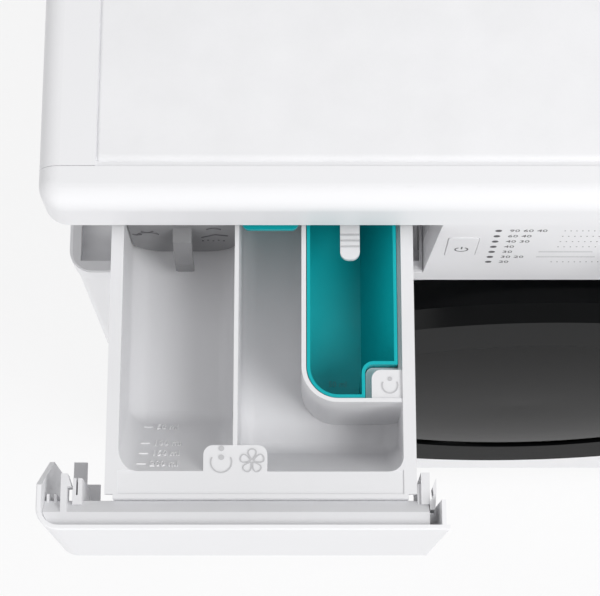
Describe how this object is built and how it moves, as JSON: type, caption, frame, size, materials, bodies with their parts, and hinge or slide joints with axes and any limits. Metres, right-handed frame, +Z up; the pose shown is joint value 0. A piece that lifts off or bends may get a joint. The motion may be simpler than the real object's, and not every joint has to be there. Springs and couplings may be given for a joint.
{
  "type": "front load washing machine",
  "caption": "White front load washing machine with an open dispenser drawer, a round glazed door, a suspended tub and a belt driven drum.",
  "frame": {"origin": "floor under the middle of the cabinet and of its four feet", "axes": "+Z up, +X to the right of someone facing the front, +Y to the back"},
  "size_m": [0.6, 0.736, 0.85],
  "materials": {
    "white_enamel": "gloss",
    "white_gloss": "gloss",
    "white_board": "satin",
    "pale_grey": "satin",
    "mid_grey": "satin",
    "flap_grey": "satin",
    "teal": "satin",
    "black_gloss": "gloss",
    "smoked_lens": "gloss",
    "clear_glass": "gloss",
    "tub_plastic": "matte",
    "stainless": "satin",
    "cast_aluminium": "satin",
    "concrete": "matte",
    "grey_rubber": "matte",
    "black_rubber": "matte",
    "black_plastic": "matte",
    "green_board": "satin",
    "zinc_steel": "satin",
    "blue_cap": "satin"
  },
  "bodies": {
    "cabinet": {"cabinet_shell": "white_enamel", "rear_access_panel": "white_enamel", "front_panel": "white_enamel", "base_tray": "mid_grey", "rear_feet": "black_rubber", "worktop_frame": "white_gloss", "worktop_front_trim": "white_gloss", "worktop_plate": "white_board", "control_fascia": "white_gloss", "drawer_surround": "mid_grey", "display_window": "black_gloss", "control_board": "green_board", "dispenser_housing": "pale_grey", "dispenser_cover": "pale_grey", "inlet_valve": "blue_cap", "inlet_hose": "black_rubber", "cable_gland": "black_plastic", "drain_pipe": "mid_grey", "drain_pump": "black_plastic", "door_lock": "black_plastic", "hinge_bracket": "zinc_steel", "hinge_pin": "zinc_steel", "damper_cylinders": "black_plastic"},
    "left_foot": {"front_left_foot": "black_rubber"},
    "right_foot": {"front_right_foot": "black_rubber"},
    "tub_unit": {"tub_front": "tub_plastic", "tub_rear": "tub_plastic", "door_gasket": "grey_rubber", "counterweight": "concrete", "suspension_springs": "zinc_steel", "damper_rods": "zinc_steel", "motor": "cast_aluminium", "drive_belt": "black_rubber", "heater": "stainless", "bearing_set": "zinc_steel", "dispenser_hose": "black_rubber", "sump_hose": "black_rubber"},
    "drum": {"drum_shell": "stainless", "drum_lifters": "pale_grey", "drum_spider": "cast_aluminium", "drum_shaft": "zinc_steel", "drum_pulley": "cast_aluminium"},
    "motor_rotor": {"motor_pulley": "zinc_steel"},
    "door": {"door_frame": "black_gloss", "door_inner_ring": "black_plastic", "door_glass": "clear_glass", "door_lens": "smoked_lens", "hinge_arm": "zinc_steel"},
    "hook": {"door_hook": "zinc_steel"},
    "drawer": {"drawer_body": "pale_grey", "drawer_front": "white_gloss", "drawer_carrier": "pale_grey", "drawer_insert": "teal", "siphon_cap": "teal"},
    "flap": {"liquid_flap": "flap_grey"},
    "lever": {"release_lever": "pale_grey"},
    "knob": {"programme_knob": "white_gloss"},
    "key": {"power_key": "white_gloss"},
    "filter_door": {"service_flap": "white_gloss"},
    "filter": {"pump_filter": "pale_grey"}
  },
  "joints": [
    {"name": "tub_float", "type": "slide", "parent": "cabinet", "child": "tub_unit", "axis": [0, 0, 1], "range_m": [-0.006, 0.006], "stiffness_N_per_m": 20000, "springref_m": 0.01567, "deforming": ["suspension_springs", "door_gasket", "dispenser_hose", "sump_hose"]},
    {"name": "drum_spin", "type": "hinge", "parent": "tub_unit", "child": "drum", "pos_m": [0, 0, 0.445], "axis": [0, 1, 0], "continuous": true},
    {"name": "motor_spin", "type": "hinge", "parent": "tub_unit", "child": "motor_rotor", "pos_m": [0.05, 0, 0.105], "axis": [0, 1, 0], "continuous": true},
    {"name": "door_swing", "type": "hinge", "parent": "cabinet", "child": "door", "pos_m": [-0.25, -0.275, 0.445], "axis": [0, 0, -1], "range_deg": [0, 160]},
    {"name": "hook_tilt", "type": "hinge", "parent": "door", "child": "hook", "pos_m": [0.218, -0.2645, 0.445], "axis": [0, 0, -1], "range_deg": [0, 8], "stiffness_Nm_per_rad": 0.2, "springref_deg": -5.73},
    {"name": "drawer_slide", "type": "slide", "parent": "cabinet", "child": "drawer", "axis": [0, -1, 0], "range_m": [-0.17, 0]},
    {"name": "flap_turn", "type": "hinge", "parent": "drawer", "child": "flap", "pos_m": [-0.227, -0.2645, 0.796], "axis": [1, 0, 0], "range_deg": [0, 75]},
    {"name": "lever_press", "type": "hinge", "parent": "drawer", "child": "lever", "pos_m": [-0.13315, -0.1995, 0.8015], "axis": [1, 0, 0], "range_deg": [0, 4], "stiffness_Nm_per_rad": 0.5, "springref_deg": -2.86},
    {"name": "knob_turn", "type": "hinge", "parent": "cabinet", "child": "knob", "pos_m": [0.045, -0.2685, 0.757], "axis": [0, -1, 0], "continuous": true},
    {"name": "key_press", "type": "slide", "parent": "cabinet", "child": "key", "axis": [0, 1, 0], "range_m": [0, 0.0015], "stiffness_N_per_m": 400, "springref_m": -0.002},
    {"name": "filter_door_turn", "type": "hinge", "parent": "cabinet", "child": "filter_door", "pos_m": [0.19, -0.257, 0.044], "axis": [1, 0, 0], "range_deg": [0, 85]},
    {"name": "filter_turn", "type": "hinge", "parent": "cabinet", "child": "filter", "pos_m": [0.19, 0, 0.085], "axis": [0, 1, 0], "range_deg": [0, 180]},
    {"name": "left_foot_turn", "type": "hinge", "parent": "cabinet", "child": "left_foot", "pos_m": [-0.24, -0.205, 0], "axis": [0, 0, 1], "continuous": true},
    {"name": "right_foot_turn", "type": "hinge", "parent": "cabinet", "child": "right_foot", "pos_m": [0.24, -0.205, 0], "axis": [0, 0, 1], "continuous": true}
  ],
  "couplings": [
    {"joint": "motor_spin", "follows": "drum_spin", "ratio": 12.727}
  ]
}
